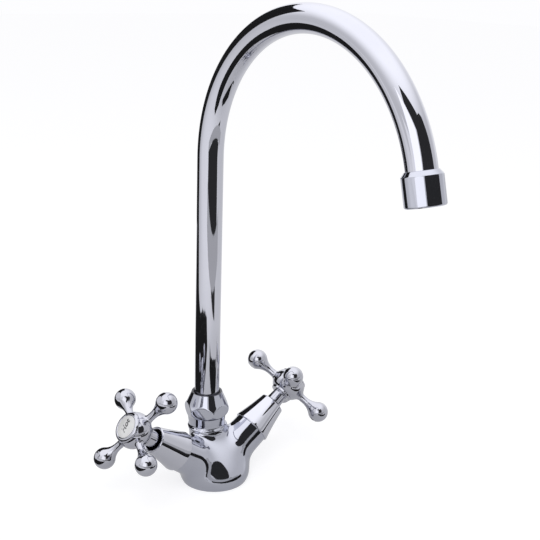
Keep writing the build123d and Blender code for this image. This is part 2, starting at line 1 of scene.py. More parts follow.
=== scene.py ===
# %% [markdown]
# # A chromed kitchen mixer tap
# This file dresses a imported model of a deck-mounted mixer tap: a Y-shaped casting, a swan-neck spout that
# swivels, and two cross handles on quarter-turn valves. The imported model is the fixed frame. It gives every
# piece its place and its body, and each cell below models or finishes one piece around it.

# %% Load the frame
import json
import math

import bpy
import numpy as np
from mathutils import Matrix, Vector

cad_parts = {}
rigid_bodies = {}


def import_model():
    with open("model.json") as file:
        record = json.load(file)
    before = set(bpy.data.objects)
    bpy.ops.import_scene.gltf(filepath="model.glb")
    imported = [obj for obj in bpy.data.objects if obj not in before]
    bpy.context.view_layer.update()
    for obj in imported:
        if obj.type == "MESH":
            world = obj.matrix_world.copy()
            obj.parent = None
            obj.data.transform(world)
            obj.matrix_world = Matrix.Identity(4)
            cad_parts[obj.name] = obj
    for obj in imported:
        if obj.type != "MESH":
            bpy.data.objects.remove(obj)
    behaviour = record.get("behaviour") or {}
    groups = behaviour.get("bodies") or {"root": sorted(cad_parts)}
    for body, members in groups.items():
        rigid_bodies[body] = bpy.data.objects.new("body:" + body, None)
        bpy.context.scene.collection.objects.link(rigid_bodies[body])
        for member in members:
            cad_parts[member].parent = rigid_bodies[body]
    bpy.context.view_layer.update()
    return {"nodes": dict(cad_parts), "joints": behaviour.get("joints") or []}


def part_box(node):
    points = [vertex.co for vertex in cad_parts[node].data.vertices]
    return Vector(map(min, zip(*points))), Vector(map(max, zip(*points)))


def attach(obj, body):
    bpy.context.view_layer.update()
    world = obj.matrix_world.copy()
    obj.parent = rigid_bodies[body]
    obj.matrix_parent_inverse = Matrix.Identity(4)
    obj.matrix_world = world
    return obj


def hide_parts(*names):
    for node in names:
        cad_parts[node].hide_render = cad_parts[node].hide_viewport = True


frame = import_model()
mm = 0.001  # Blender counts in metres

# %% [markdown]
# ## The places that the frame gives
# The three joints say where everything lies. The spout turns about an upright axis behind the middle of
# the base. Each handle turns about its arm's axis, and the joint's point is the middle of the arm's end
# face, where the valve is screwed in. So an arm's own frame has its origin there and its Z along the axis.

# %% Joint places
joints = {joint["name"]: joint for joint in frame["joints"]}
swivel_y = joints["spout_swivel"]["pos_m"][1]
on_neck = Matrix.Translation((0, swivel_y, 0))
sides = {"left": -1, "right": 1}


def on_arm(name):
    """The matrix from an arm's own frame, with Z out along the arm, to the row frame."""
    joint = joints[name + "_handle_turn"]
    out = Vector(joint["axis"]).normalized()
    across = Vector((0, sides[name], 0))
    matrix = Matrix((across, out.cross(across), out)).transposed().to_4x4()
    matrix.translation = Vector(joint["pos_m"])
    return matrix


for name in sides:
    print(name, "arm ends at", [round(v, 4) for v in on_arm(name).translation])

# %% [markdown]
# ## The camera
# The photograph looks down on the tap by about 17 degrees, from in front and to the left. The camera stands
# only 0.75 m from the foot, so the lines that run towards it draw together. It is tipped by 2 degrees.

# %% Camera
camera_place = Vector((-389.5, -531.6, 362.9)) * mm
camera_azimuth = 39.36
camera_drop = 17.02
camera_roll = 1.96
camera_lens, camera_sensor, camera_clip = 65.93, 36, 10 * mm

camera_data = bpy.data.cameras.new("camera")
camera_data.lens = camera_lens
camera_data.sensor_width = camera_sensor
camera_data.clip_start = camera_clip
camera = bpy.data.objects.new("camera", camera_data)
bpy.context.scene.collection.objects.link(camera)
turn_to = Matrix.Rotation(math.radians(-camera_azimuth), 4, "Z")
look_down = Matrix.Rotation(math.radians(90 - camera_drop), 4, "X")
tip = Matrix.Rotation(math.radians(camera_roll), 4, "Z")
camera.matrix_world = Matrix.Translation(camera_place) @ turn_to @ look_down @ tip
bpy.context.scene.camera = camera
print("camera looks along", [round(v, 3) for v in -camera.matrix_world.col[2].to_3d()])

# %% [markdown]
# ## Tools of the trade
# Most pieces of a tap are turned on a lathe. In Blender a turned piece starts as a circle, and each
# extrusion with a resize adds the next ring of its outline. Small helpers keep the selection clean, because
# an operator acts on everything that is selected.


# %% Selecting and applying
merge_distance = 0.002 * mm
bevelled_angle, softened_angle, cast_angle = math.radians(30), 45, 35


def deselect():
    """Leaves nothing selected, as before each new primitive."""
    bpy.ops.object.select_all(action="DESELECT")


def only(piece):
    """Selects this piece alone and makes it active."""
    deselect()
    piece.select_set(True)
    bpy.context.view_layer.objects.active = piece


def apply_modifier(piece, kind, **settings):
    """Adds a modifier with these settings and applies it."""
    only(piece)
    modifier = piece.modifiers.new(kind.lower(), kind)
    for setting, value in settings.items():
        setattr(modifier, setting, value)
    bpy.ops.object.modifier_apply(modifier=modifier.name)


def put(piece, matrix):
    """Moves a piece by this matrix and keeps the move in its mesh."""
    only(piece)
    piece.matrix_world = matrix @ piece.matrix_world
    bpy.ops.object.transform_apply(location=True, rotation=True, scale=True)
    return piece


def join(first, *others):
    """Makes one piece of several: the first keeps its name."""
    deselect()
    for piece in (first, *others):
        piece.select_set(True)
    bpy.context.view_layer.objects.active = first
    bpy.ops.object.join()
    return first


def smooth(piece, angle=30):
    """Merges doubles, turns the faces outwards and shades all but the sharp edges smooth."""
    only(piece)
    bpy.ops.object.mode_set(mode="EDIT")
    bpy.ops.mesh.select_all(action="SELECT")
    bpy.ops.mesh.remove_doubles(threshold=merge_distance)
    bpy.ops.mesh.normals_make_consistent(inside=False)
    bpy.ops.object.mode_set(mode="OBJECT")
    bpy.ops.object.shade_smooth_by_angle(angle=math.radians(angle))


def soften(piece, width, segments=3):
    """Rounds the sharp edges a little, as polishing does, and weighs the normals by face."""
    apply_modifier(
        piece, "BEVEL", width=width, segments=segments, limit_method="ANGLE", angle_limit=bevelled_angle
    )
    smooth(piece, softened_angle)
    apply_modifier(piece, "WEIGHTED_NORMAL", keep_sharp=True)
    return piece


# %% Turning on the lathe
def extrude_to(r, z, last_r, last_z):
    """Extrudes the ring to the next height and then widens or narrows it."""
    bpy.ops.mesh.extrude_region_move(TRANSFORM_OT_translate={"value": (0, 0, z - last_z)})
    factor = r / last_r
    bpy.ops.transform.resize(value=(factor, factor, 1), center_override=(0, 0, z))


def turn(name, outline, sides_round=128, hollow=False):
    """Turns an outline of (radius, height) about Z: a solid, or a ring whose outline is closed."""
    first_r, first_z = outline[0]
    fill = "NOTHING" if hollow else "NGON"
    deselect()
    bpy.ops.mesh.primitive_circle_add(
        vertices=sides_round, radius=first_r, fill_type=fill, location=(0, 0, first_z)
    )
    piece = bpy.context.active_object
    piece.name = piece.data.name = name
    bpy.ops.object.transform_apply(location=True)
    bpy.ops.object.mode_set(mode="EDIT")
    bpy.ops.mesh.select_all(action="SELECT")
    rings = outline + outline[:1] if hollow else outline
    for (last_r, last_z), (r, z) in zip(rings, rings[1:]):
        extrude_to(r, z, last_r, last_z)
    bpy.ops.object.mode_set(mode="OBJECT")
    smooth(piece)
    print(name, "turned:", len(outline), "rings,", len(piece.data.polygons), "faces")
    return piece


# %% [markdown]
# ## How a cast and polished piece is shaped
# The body, the nut and the crosses are castings whose parts flow into each other. Bevels can't make such
# blends between round forms, so these pieces are made in two steps. Primitives are joined and remeshed into
# one even skin, as a rough casting. Then every vertex slides to where a distance formula is zero, as on a
# polishing wheel. The formula joins its parts with a smooth minimum, and that is the casting's blend.


# %% Polishing a rough casting
def blend_union(a, b, width):
    """The smaller of two distances, with a smooth blend where they are about equal."""
    near = np.maximum(width - np.abs(a - b), 0) / width
    return np.minimum(a, b) - near * near * width / 4


def wide_blend(a, b, width):
    """Like blend_union, with a blend that fades in without a visible edge."""
    near = np.maximum(width - np.abs(a - b), 0) / width
    return np.minimum(a, b) - near**3 * width / 6


def blend_cut(a, b, width):
    """The larger of two distances, with the edge between them rounded."""
    return -blend_union(-a, -b, width)


def polish(piece, field, rounds=4):
    """Slides each vertex along the field's slope until the field is zero there."""
    mesh = piece.data
    points = np.empty(len(mesh.vertices) * 3)
    mesh.vertices.foreach_get("co", points)
    points = points.reshape(-1, 3)
    step, least_steepness = 0.01 * mm, 0.2
    for _ in range(rounds):
        slopes = []
        for axis in np.eye(3):
            change = field(points + step * axis) - field(points - step * axis)
            slopes.append(change / (2 * step))
        slope = np.stack(slopes, axis=1)
        steepness = np.maximum((slope**2).sum(axis=1), least_steepness)
        points -= slope * (field(points) / steepness)[:, None]
    mesh.vertices.foreach_set("co", points.ravel())
    mesh.update()
    return float(np.abs(field(points)).max())


def cast(piece, field, voxel):
    """Remeshes a rough piece into one even skin and polishes it to the field."""
    apply_modifier(piece, "REMESH", mode="VOXEL", voxel_size=voxel)
    polish(piece, field)
    for _ in range(2):
        apply_modifier(piece, "SMOOTH", factor=0.5, iterations=4)
        off = polish(piece, field)
    print(piece.name, "cast:", len(piece.data.polygons), "faces, off the form by", round(off / mm, 4), "mm")
    return piece


# %% Cutting and boring
past = 1.0 * mm  # how far a rough bar or a cutter reaches past the face that it makes


def cut_flat(piece, point, outwards, snap=0.1 * mm):
    """Cuts a piece off flat at a plane. Vertices very near the plane are laid on it first."""
    plane, normal = Vector(point), Vector(outwards)
    for vertex in piece.data.vertices:
        off = (vertex.co - plane).dot(normal)
        if abs(off) < snap:
            vertex.co -= off * normal
    only(piece)
    bpy.ops.object.mode_set(mode="EDIT")
    bpy.ops.mesh.select_all(action="SELECT")
    bpy.ops.mesh.bisect(plane_co=point, plane_no=outwards, use_fill=True, clear_outer=True, threshold=snap)
    bpy.ops.object.mode_set(mode="OBJECT")


def bore_out(piece, cutter):
    """Takes the cutter's form out of a piece and throws the cutter away."""
    apply_modifier(piece, "BOOLEAN", operation="DIFFERENCE", solver="EXACT", object=cutter)
    bpy.data.objects.remove(cutter)


def rod(name, radius, bottom, top, matrix=Matrix.Identity(4), vertices=64):
    """A plain round bar along Z of the given frame, for rough castings and for cutters."""
    length, middle = top - bottom, (0, 0, (bottom + top) / 2)
    deselect()
    bpy.ops.mesh.primitive_cylinder_add(vertices=vertices, radius=radius, depth=length, location=middle)
    bar = bpy.context.active_object
    bar.name = name
    return put(bar, matrix)


# %% [markdown]
# ## The body casting
# The casting is a cone that leans back from a wide round foot to the neck, with an arm growing out of each
# side. The cone's radius and its centre line are two cubic curves through four sections: the foot, its rim,
# the waist and the shoulder. Lofted arms would meet the cone in a seam, and a polished casting has none.

# %% Body sizes
section_z = np.array((0, 6.0, 20.0, 38.8)) * mm
section_r = np.array((23.5, 25.0, 19.0, 14.5)) * mm
section_y = np.array((0, 0, 4.0 * mm, swivel_y))
arm_tilt = math.asin(joints["right_handle_turn"]["axis"][2])
arm_length = 41.2 * mm
arm_radius = 13.4 * mm
arm_start = 10.0 * mm
arm_over = 1.5 * mm  # how far a rough arm reaches past its end face
body_blend = 15.0 * mm
shoulder_z = section_z[3]
radius_curve = np.polyfit(section_z / mm, section_r / mm, 3)
centre_curve = np.polyfit(section_z / mm, section_y / mm, 3)
print("arm tilt", round(math.degrees(arm_tilt), 2))


def cone_radius(z):
    """The cone's radius at this height."""
    return np.polyval(radius_curve, z / mm) * mm


def cone_centre(z):
    """How far back the cone's middle lies at this height."""
    return np.polyval(centre_curve, z / mm) * mm


# %% Body form
neck_foot_radius = 12.9 * mm
neck_top_radius = 14.1 * mm
neck_seat = 46.95 * mm
neck_root = 5.0 * mm  # how far the neck's bar reaches down into the cone
shoulder_edge = 2.0 * mm
neck_blend = 2.0 * mm
arm_axes = {name: np.array(on_arm(name).col[2].to_3d()) for name in sides}
arm_ends = {name: np.array(on_arm(name).translation) for name in sides}
print("neck radius", round(neck_foot_radius / mm, 2), "to", round(neck_top_radius / mm, 2), "mm")


def body_field(points):
    """How far a point lies outside the casting's skin."""
    x, y, z = points.T
    height = np.clip(z, -past, shoulder_z + past)
    cone = np.hypot(x, y - cone_centre(height)) - cone_radius(height)
    form = blend_cut(cone, z - shoulder_z, shoulder_edge)
    # the share is 0 at the neck's foot and 1 at its top
    share = np.clip((z - shoulder_z) / (neck_seat - shoulder_z), -0.5, 1.5)
    neck = np.hypot(x, y - swivel_y) - neck_foot_radius - share * (neck_top_radius - neck_foot_radius)
    form = wide_blend(form, np.maximum(neck, shoulder_z - neck_root - z), neck_blend)
    for name in sides:
        reach = points - arm_ends[name]
        along = reach @ arm_axes[name]
        across = np.linalg.norm(reach - along[:, None] * arm_axes[name], axis=1)
        arm = np.maximum(across - arm_radius, arm_start - arm_length - along)
        form = wide_blend(form, arm, body_blend)
    return form


# %% Body mesh
cone_rings, body_voxel = 22, 0.55 * mm


def rough_body():
    """The cone, ring by ring, with a bar for each arm and one for the neck."""
    heights = np.linspace(-past, shoulder_z, cone_rings)
    outline = [(float(cone_radius(z)), float(z)) for z in heights]
    cone = turn("body_casting_skin", outline, 96)
    for vertex in cone.data.vertices:
        vertex.co.y += float(cone_centre(vertex.co.z))
    bars = [rod("neck", neck_top_radius, shoulder_z - neck_root, neck_seat + past, on_neck)]
    for name in sides:
        bars.append(rod("arm", arm_radius, arm_start - arm_length, arm_over, on_arm(name), 96))
    return join(cone, *bars)


body = cast(rough_body(), body_field, body_voxel)
cut_flat(body, (0, 0, 0), (0, 0, -1))
cut_flat(body, (0, 0, neck_seat), (0, 0, 1))
for name in sides:
    cut_flat(body, on_arm(name).translation, on_arm(name).col[2].to_3d())

# %% [markdown]
# ## What is bored out of the casting
# Under the foot are the seal's groove, two threaded sockets for the supply tails and one for the fixing
# stud. Each arm's end holds the valve's pocket, and the neck's bore runs down to the mixing chamber. A
# hollow could be modelled ring by ring, but a boolean takes it out cleanly of a skin with so many faces.

# %% Sockets, pockets and the chamber
socket_radius = 4.5 * mm
socket_depth = 12.0 * mm
socket_x, socket_y = 9.2 * mm, 2.5 * mm
stud_radius = 3.4 * mm
stud_depth = 14.0 * mm
stud_y = -11.5 * mm
groove_outer, groove_inner, groove_depth = 21.4 * mm, 18.6 * mm, 1.6 * mm
pocket_radius = 10.35 * mm
pocket_depth = 15.0 * mm
bore_radius = 7.0 * mm
chamber_floor = 25.0 * mm

cutters = [
    rod("stud", stud_radius, -past, stud_depth, Matrix.Translation((0, stud_y, 0))),
    rod("chamber", bore_radius, chamber_floor, neck_seat + past, on_neck),
]
for name, side in sides.items():
    place = Matrix.Translation((side * socket_x, socket_y, 0))
    cutters.append(rod("socket", socket_radius, -past, socket_depth, place))
    cutters.append(rod("pocket", pocket_radius, -pocket_depth, past, on_arm(name)))
groove_outline = [(groove_inner, -past), (groove_outer, -past)]
groove_outline += [(groove_outer, groove_depth), (groove_inner, groove_depth)]
cutters.append(turn("groove", groove_outline, 96, hollow=True))
for cutter in cutters:
    bore_out(body, cutter)
print("bored out of the body:", len(cutters), "hollows")

# %% [markdown]
# The nut screws onto the neck's thread and hides it. So the thread is a plain turned ring, which is joined
# to the casting's mesh. Turned grooves would cost many faces that nobody sees.

# %% The neck's thread
neck_thread_radius = 12.5 * mm
neck_top = 54.0 * mm
thread_outline = [
    (neck_thread_radius, neck_seat - past),
    (neck_thread_radius, neck_top),
    (bore_radius, neck_top),
    (bore_radius, neck_seat - past),
]
thread = turn("thread", thread_outline, 96, hollow=True)
put(thread, on_neck)
smooth(body, cast_angle)
join(body, thread)
body.name = "body_casting_skin"
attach(body, "body")
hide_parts("body_casting")
print("body faces", len(body.data.polygons))

# %% [markdown]
# ## The domed nut
# The nut is a hexagon whose upper half is turned to a cone, so each flat ends in an arch and two arches
# meet in a notch over each corner. A bevelled hexagon would have straight edges there, so the nut is
# polished to a formula too: six flats cut by a turned dome.

# %% Nut form
nut_bottom = 47.0 * mm
nut_skirt, nut_corner, nut_knee, nut_top = 50.2 * mm, 53.7 * mm, 55.4 * mm, 64.8 * mm
nut_flat = 14.5 * mm
nut_bottom_radius, nut_corner_radius = 14.3 * mm, 16.6 * mm
nut_knee_radius, nut_top_radius = 15.15 * mm, 11.1 * mm
nut_turn = math.radians(42)
nut_edge = 0.7 * mm


def slope_plane(r, z, start, end):
    """The distance outside the straight line from start to end, in radius and height."""
    run_r, run_z = end[0] - start[0], end[1] - start[1]
    length = math.hypot(run_r, run_z)
    return ((r - start[0]) * run_z - (z - start[1]) * run_r) / length


def nut_field(points):
    """The hexagon's sides, cut by the turned dome."""
    x, y, z = points[:, 0], points[:, 1] - swivel_y, points[:, 2]
    r = np.hypot(x, y)
    cone = slope_plane(r, z, (nut_knee_radius, nut_knee), (nut_top_radius, nut_top))
    knee = slope_plane(r, z, (nut_corner_radius, nut_corner), (nut_knee_radius, nut_knee))
    skirt = slope_plane(r, z, (nut_bottom_radius, nut_bottom), (nut_corner_radius, nut_skirt))
    dome = blend_cut(r - nut_corner_radius, blend_union(cone, knee, nut_edge), nut_edge)
    dome = blend_cut(dome, skirt, 2 * nut_edge)
    around = np.arctan2(y, x) - nut_turn
    side_angle = math.tau / 6
    around = around - side_angle * np.round(around / side_angle)
    return blend_cut(dome, r * np.cos(around) - nut_flat, 0.5 * nut_edge)


# %% Nut mesh
nut_voxel = 0.35 * mm
rough_nut = rod("spout_nut_skin", nut_corner_radius, nut_bottom - past, nut_top + past, on_neck, 96)
nut = cast(rough_nut, nut_field, nut_voxel)
cut_flat(nut, (0, 0, nut_bottom), (0, 0, -1))
cut_flat(nut, (0, 0, nut_top), (0, 0, 1))
nut_thread, nut_bore = 12.55 * mm, 9.25 * mm
nut_shoulder = 58.4 * mm
countersink = 0.6 * mm
nut_hollow = [
    (nut_thread, nut_bottom - past),
    (nut_thread, nut_shoulder),
    (nut_bore, nut_shoulder),
    (nut_bore, nut_top - countersink),
    (nut_bore + countersink + past, nut_top + past),
]
bore_out(nut, put(turn("nut_hollow", nut_hollow, 96), on_neck))
smooth(nut, cast_angle)
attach(nut, "body")
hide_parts("spout_nut")

# %% [markdown]
# ## The swan-neck tube
# The tube is one circle on a journey: it is extruded up the riser, spun round the arch, and extruded once
# more into the outlet's collar. A wall thickness makes it hollow. A curve with a round profile could make it
# too, but this way is how a bender works, and the rings stay square to the bend.


# %% Measuring
def span(piece, axis):
    """From where to where a piece reaches along an axis, rounded for printing."""
    reaches = [vertex.co[axis] for vertex in piece.data.vertices]
    return round(min(reaches), 4), round(max(reaches), 4)


# %% Tube
tube_radius = 9.0 * mm
tube_wall = 1.0 * mm
tube_bottom = 57.4 * mm
riser_top = 237.8 * mm
arch_radius = 97.6 * mm
arch_angle = math.radians(165.4)
tube_tail = 8.0 * mm
tube_smooth_angle = 60
riser_steps = 12
arch_steps = 120

deselect()
bpy.ops.mesh.primitive_circle_add(vertices=96, radius=tube_radius, location=(0, swivel_y, tube_bottom))
tube = bpy.context.active_object
tube.name = tube.data.name = "spout_tube_skin"
bpy.ops.object.transform_apply(location=True)
bpy.ops.object.mode_set(mode="EDIT")
bpy.ops.mesh.select_all(action="SELECT")
for _ in range(riser_steps):
    rise = (riser_top - tube_bottom) / riser_steps
    bpy.ops.mesh.extrude_region_move(TRANSFORM_OT_translate={"value": (0, 0, rise)})
arch_centre = (0, swivel_y - arch_radius, riser_top)
bpy.ops.mesh.spin(steps=arch_steps, angle=arch_angle, center=arch_centre, axis=(-1, 0, 0))
onwards = Vector((0, -math.sin(arch_angle), math.cos(arch_angle)))
bpy.ops.mesh.extrude_region_move(TRANSFORM_OT_translate={"value": onwards * tube_tail})
bpy.ops.object.mode_set(mode="OBJECT")
smooth(tube, tube_smooth_angle)
apply_modifier(tube, "SOLIDIFY", thickness=tube_wall, offset=-1)
smooth(tube, tube_smooth_angle)
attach(tube, "spout")
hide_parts("spout_tube")
low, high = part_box("spout_tube")
print("tube y", span(tube, 1), "frame", round(low.y, 4), round(high.y, 4))
print("tube z", span(tube, 2), "frame", round(low.z, 4), round(high.z, 4))

# %% [markdown]
# ## The outlet's collar
# The collar is turned: a short cone under the tube, a plain barrel, a softened rim and a lip that holds the
# aerator. A cylinder could be inset and bevelled, but one turned outline gives the outside, the bore and the
# lip at once. It is turned upright and then put on the outlet, with its Z on the way the water leaves.

# %% Collar
collar_radius = 11.75 * mm
collar_length = 19.6 * mm
collar_cone = 2.8 * mm
collar_edge, collar_softness = 0.7 * mm, 0.25 * mm
collar_bore, collar_lip_bore, collar_lip = 9.85 * mm, 8.1 * mm, 1.8 * mm
collar_top_wall = 1.6 * mm
collar_hole, collar_top = tube_radius + 0.05 * mm, tube_radius + 0.5 * mm

outlet = Matrix.Translation(Vector(arch_centre)) @ Matrix.Rotation(arch_angle, 4, "X")
outlet = outlet @ Matrix.Translation((0, arch_radius, 0))
collar_outline = [
    (collar_hole, 0),
    (collar_top, 0),
    (collar_radius, collar_cone),
    (collar_radius, collar_length - collar_edge),
    (collar_radius - collar_edge, collar_length),
    (collar_lip_bore, collar_length),
    (collar_lip_bore, collar_length - collar_lip),
    (collar_bore, collar_length - collar_lip),
    (collar_bore, collar_top_wall),
    (collar_hole, collar_top_wall),
]
collar = turn("aerator_housing_skin", collar_outline, 128, hollow=True)
soften(collar, collar_softness)
put(collar, outlet)
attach(collar, "spout")
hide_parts("aerator_housing")
low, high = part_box("aerator_housing")
print("collar y", span(collar, 1), "frame", round(low.y, 4), round(high.y, 4))

# %% [markdown]
# ## The bells over the valves
# Each valve hides under a flared bell. It is turned as a thin shell with a rolled foot, and it ends in a
# thick rounded rim where the handle's stem goes in. The flare could be drawn point by point, but an arc
# through three known points is smoother.


# %% Circles and arcs
def circle_through(first, second, third):
    """The centre and the radius of the circle through three points of radius and height."""
    rows, values = [], []
    for other in (second, third):
        rows.append((2 * (other[0] - first[0]), 2 * (other[1] - first[1])))
        values.append(other[0] ** 2 + other[1] ** 2 - first[0] ** 2 - first[1] ** 2)
    centre = [float(value) for value in np.linalg.solve(rows, values)]
    return centre, math.dist(centre, first)


def arc(start, through, end, steps):
    """Points on the arc through three points of radius and height, without the first one."""
    (centre_r, centre_z), radius = circle_through(start, through, end)
    first, middle, last = (math.atan2(z - centre_z, r - centre_r) for r, z in (start, through, end))
    sweep = (last - first) % math.tau
    if (middle - first) % math.tau > sweep:
        sweep -= math.tau
    angles = [first + sweep * k / steps for k in range(1, steps + 1)]
    return [(centre_r + radius * math.cos(t), centre_z + radius * math.sin(t)) for t in angles]


# %% Bells
bell_length, bell_wall = 25.2 * mm, 1.1 * mm
bell_foot, bell_foot_height, bell_foot_edge = 14.35 * mm, 1.1 * mm, 0.3 * mm
bell_skirt, bell_skirt_z = 13.5 * mm, 4.4 * mm
bell_waist, bell_waist_z = 11.2 * mm, 15.0 * mm
bell_top = 9.6 * mm
bell_thread, bell_softness = 12.0 * mm, 0.12 * mm
mouth_rim = 2.0 * mm
mouth_z = bell_length - mouth_rim / 2


def bell_outline():
    """Up the outside, over the rounded mouth and down the inside."""
    skirt, waist, mouth = (bell_skirt, bell_skirt_z), (bell_waist, bell_waist_z), (bell_top, mouth_z)
    inner_mouth = (bell_top - mouth_rim, mouth_z)
    inner_waist = (bell_waist - bell_wall, bell_waist_z)
    inner_skirt = (bell_skirt - bell_wall, bell_skirt_z)
    outline = [(bell_thread, 0), (bell_foot - bell_foot_edge, 0), (bell_foot, bell_foot_edge)]
    outline += [(bell_foot, bell_foot_height), skirt]
    outline += arc(skirt, waist, mouth, 24)
    outline += arc(mouth, (bell_top - mouth_rim / 2, bell_length), inner_mouth, 10)
    outline += arc(inner_mouth, inner_waist, inner_skirt, 12)
    outline.append((bell_thread, bell_skirt_z))
    return outline


for name in sides:
    bell = turn(name + "_bell_shroud_skin", bell_outline(), 128, hollow=True)
    soften(bell, bell_softness, 2)
    put(bell, on_arm(name))
    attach(bell, "body")
    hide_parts(name + "_bell_shroud")

# %% [markdown]
# ## The cross handles
# A hub like a small barrel carries four spokes. Each spoke narrows to a waist and swells into a ball, and
# it flows into the hub with a small blend. Joined balls and bars would meet in hard creases, so the cross is
# a polished casting as well. It is made once, and each arm gets a copy with its own mesh, turned to the
# angle that the photograph shows.

# %% Handle form
hub_reach = 43.1 * mm
hub_radius, hub_top_radius, hub_neck_radius = 12.8 * mm, 10.9 * mm, 8.95 * mm
hub_top, hub_neck = 7.1 * mm, -6.8 * mm
ball_reach, ball_radius = 30.7 * mm, 7.55 * mm
spoke_root, spoke_root_radius = 6.4 * mm, 3.8 * mm
spoke_waist, spoke_waist_radius = 17.2 * mm, 2.75 * mm
spoke_blend = 1.9 * mm
print("cross over the balls", round(2 * (ball_reach + ball_radius) / mm, 1), "mm")

# %% Circles of the hub and the spokes
# one arc runs from the spoke's waist into the ball, the other from the waist back to the root
hub_centre, hub_arc = circle_through((hub_neck_radius, hub_neck), (hub_radius, 0), (hub_top_radius, hub_top))
to_ball = ball_reach - spoke_waist
neck_arc = (to_ball**2 + spoke_waist_radius**2 - ball_radius**2) / (2 * (ball_radius - spoke_waist_radius))
neck_centre = (spoke_waist, spoke_waist_radius + neck_arc)
root_rise = spoke_root_radius - spoke_waist_radius
root_arc = ((spoke_waist - spoke_root) ** 2 + root_rise**2) / (2 * root_rise)
root_centre = (spoke_waist, spoke_waist_radius + root_arc)
print("spoke arcs", round(neck_arc / mm, 2), round(root_arc / mm, 2), "hub arc", round(hub_arc / mm, 2))


def cross_field(points):
    """The hub and the nearest spoke, in a frame whose origin is the hub's middle."""
    x, y, z = points.T
    hub = np.hypot(np.hypot(x, y) - hub_centre[0], z - hub_centre[1]) - hub_arc
    along = np.maximum(np.abs(x), np.abs(y))
    across = np.hypot(np.minimum(np.abs(x), np.abs(y)), z)
    root = root_arc - np.hypot(along - root_centre[0], across - root_centre[1])
    neck = neck_arc - np.hypot(along - neck_centre[0], across - neck_centre[1])
    ball = np.hypot(along - ball_reach, across) - ball_radius
    past_neck = (along - ball_reach) * neck_centre[1] - across * (neck_centre[0] - ball_reach) > 0
    spoke = np.where(past_neck, ball, np.where(along > spoke_waist, neck, root))
    return blend_union(hub, spoke, spoke_blend)


# %% Handle mesh
spokes, cross_voxel = 4, 0.42 * mm


def rough_cross():
    """A ball for the hub, and a bar with a ball at its end for each spoke."""
    deselect()
    bpy.ops.mesh.primitive_uv_sphere_add(segments=48, ring_count=32, radius=hub_radius)
    hub = bpy.context.active_object
    parts = []
    quarter_turn = math.radians(90)
    lying_down = Matrix.Rotation(quarter_turn, 4, "X")
    for number in range(spokes):
        spin = Matrix.Rotation((number + 1) * quarter_turn, 4, "Z") @ lying_down
        parts.append(rod("spoke", spoke_waist_radius, spoke_root, ball_reach, spin, 32))
        place = spin @ Vector((0, 0, ball_reach))
        deselect()
        bpy.ops.mesh.primitive_uv_sphere_add(segments=32, ring_count=24, radius=ball_radius, location=place)
        parts.append(bpy.context.active_object)
    join(hub, *parts)
    bpy.ops.object.transform_apply(location=True)
    return hub


cross_model = cast(rough_cross(), cross_field, cross_voxel)
cut_flat(cross_model, (0, 0, hub_neck), (0, 0, -1))
cut_flat(cross_model, (0, 0, hub_top), (0, 0, 1))

# %% [markdown]
# Under the hub a stem reaches down into the bell. It is round and has sharp steps, so it is turned and not
# cast. The recess on top of the hub takes the bezel's spigot.

# %% The stem and the hollows
stem_radius, stem_bottom, stem_softness = 4.7 * mm, 19.4 * mm, 0.2 * mm
collar_foot_radius, collar_head_radius = 6.0 * mm, 5.5 * mm
collar_foot, collar_round = 25.6 * mm, 0.9 * mm
lip_radius, lip_height, lip_edge = 8.7 * mm, 1.9 * mm, 0.9 * mm
recess_radius, recess_floor = 8.0 * mm, 40.4 * mm
neck_z = hub_reach + hub_neck
lip_z = neck_z - lip_height
corner_share = 0.3  # how far in from a rounded corner's tip its middle lies, as a share of the radius


def stem_outline():
    """Up the thin stem, over the collar above the bell's mouth and round the lip under the hub."""
    foot = (collar_foot_radius - collar_round, collar_foot)
    widest = (collar_foot_radius, collar_foot + collar_round)
    corner = (collar_foot_radius - corner_share * collar_round, collar_foot + corner_share * collar_round)
    outline = [(stem_radius, stem_bottom), (stem_radius, collar_foot), foot]
    outline += arc(foot, corner, widest, 6)
    outline += [(collar_head_radius, lip_z), (lip_radius - lip_edge, lip_z)]
    lip_corner = (lip_radius - corner_share * lip_edge, lip_z + corner_share * lip_edge)
    outline += arc((lip_radius - lip_edge, lip_z), lip_corner, (lip_radius, lip_z + lip_edge), 5)
    outline.append((hub_neck_radius, neck_z))
    return outline


stem = soften(turn("stem", stem_outline(), 96), stem_softness)
put(cross_model, Matrix.Translation((0, 0, hub_reach)))
hub_face = hub_reach + hub_top
bore_out(cross_model, rod("recess", recess_radius, recess_floor, hub_face + past))
smooth(cross_model, cast_angle)
join(cross_model, stem)
print("cross faces", len(cross_model.data.polygons))

# %% Two handles from one model
handle_turn = {"left": 62.4, "right": 43.4}  # in degrees, as the crosses stand in the photograph
for name in sides:
    cross = cross_model.copy()
    cross.data = cross_model.data.copy()
    cross.name = cross.data.name = name + "_handle_cross_skin"
    bpy.context.scene.collection.objects.link(cross)
    put(cross, on_arm(name) @ Matrix.Rotation(math.radians(handle_turn[name]), 4, "Z"))
    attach(cross, name + "_handle")
    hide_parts(name + "_handle_cross")
    print(cross.name, "turned by", handle_turn[name], "degrees about its arm")
bpy.data.objects.remove(cross_model)

# %% [markdown]
# ## The bezels and the index discs
# A chromed ring on each hub holds a white glazed disc. The ring has a round slope outside and a thin lip
# inside, which is rolled over the edge of the disc. The disc has a slight crown. Both are round all over, so
# both are turned, with their heights counted from the hub's face.

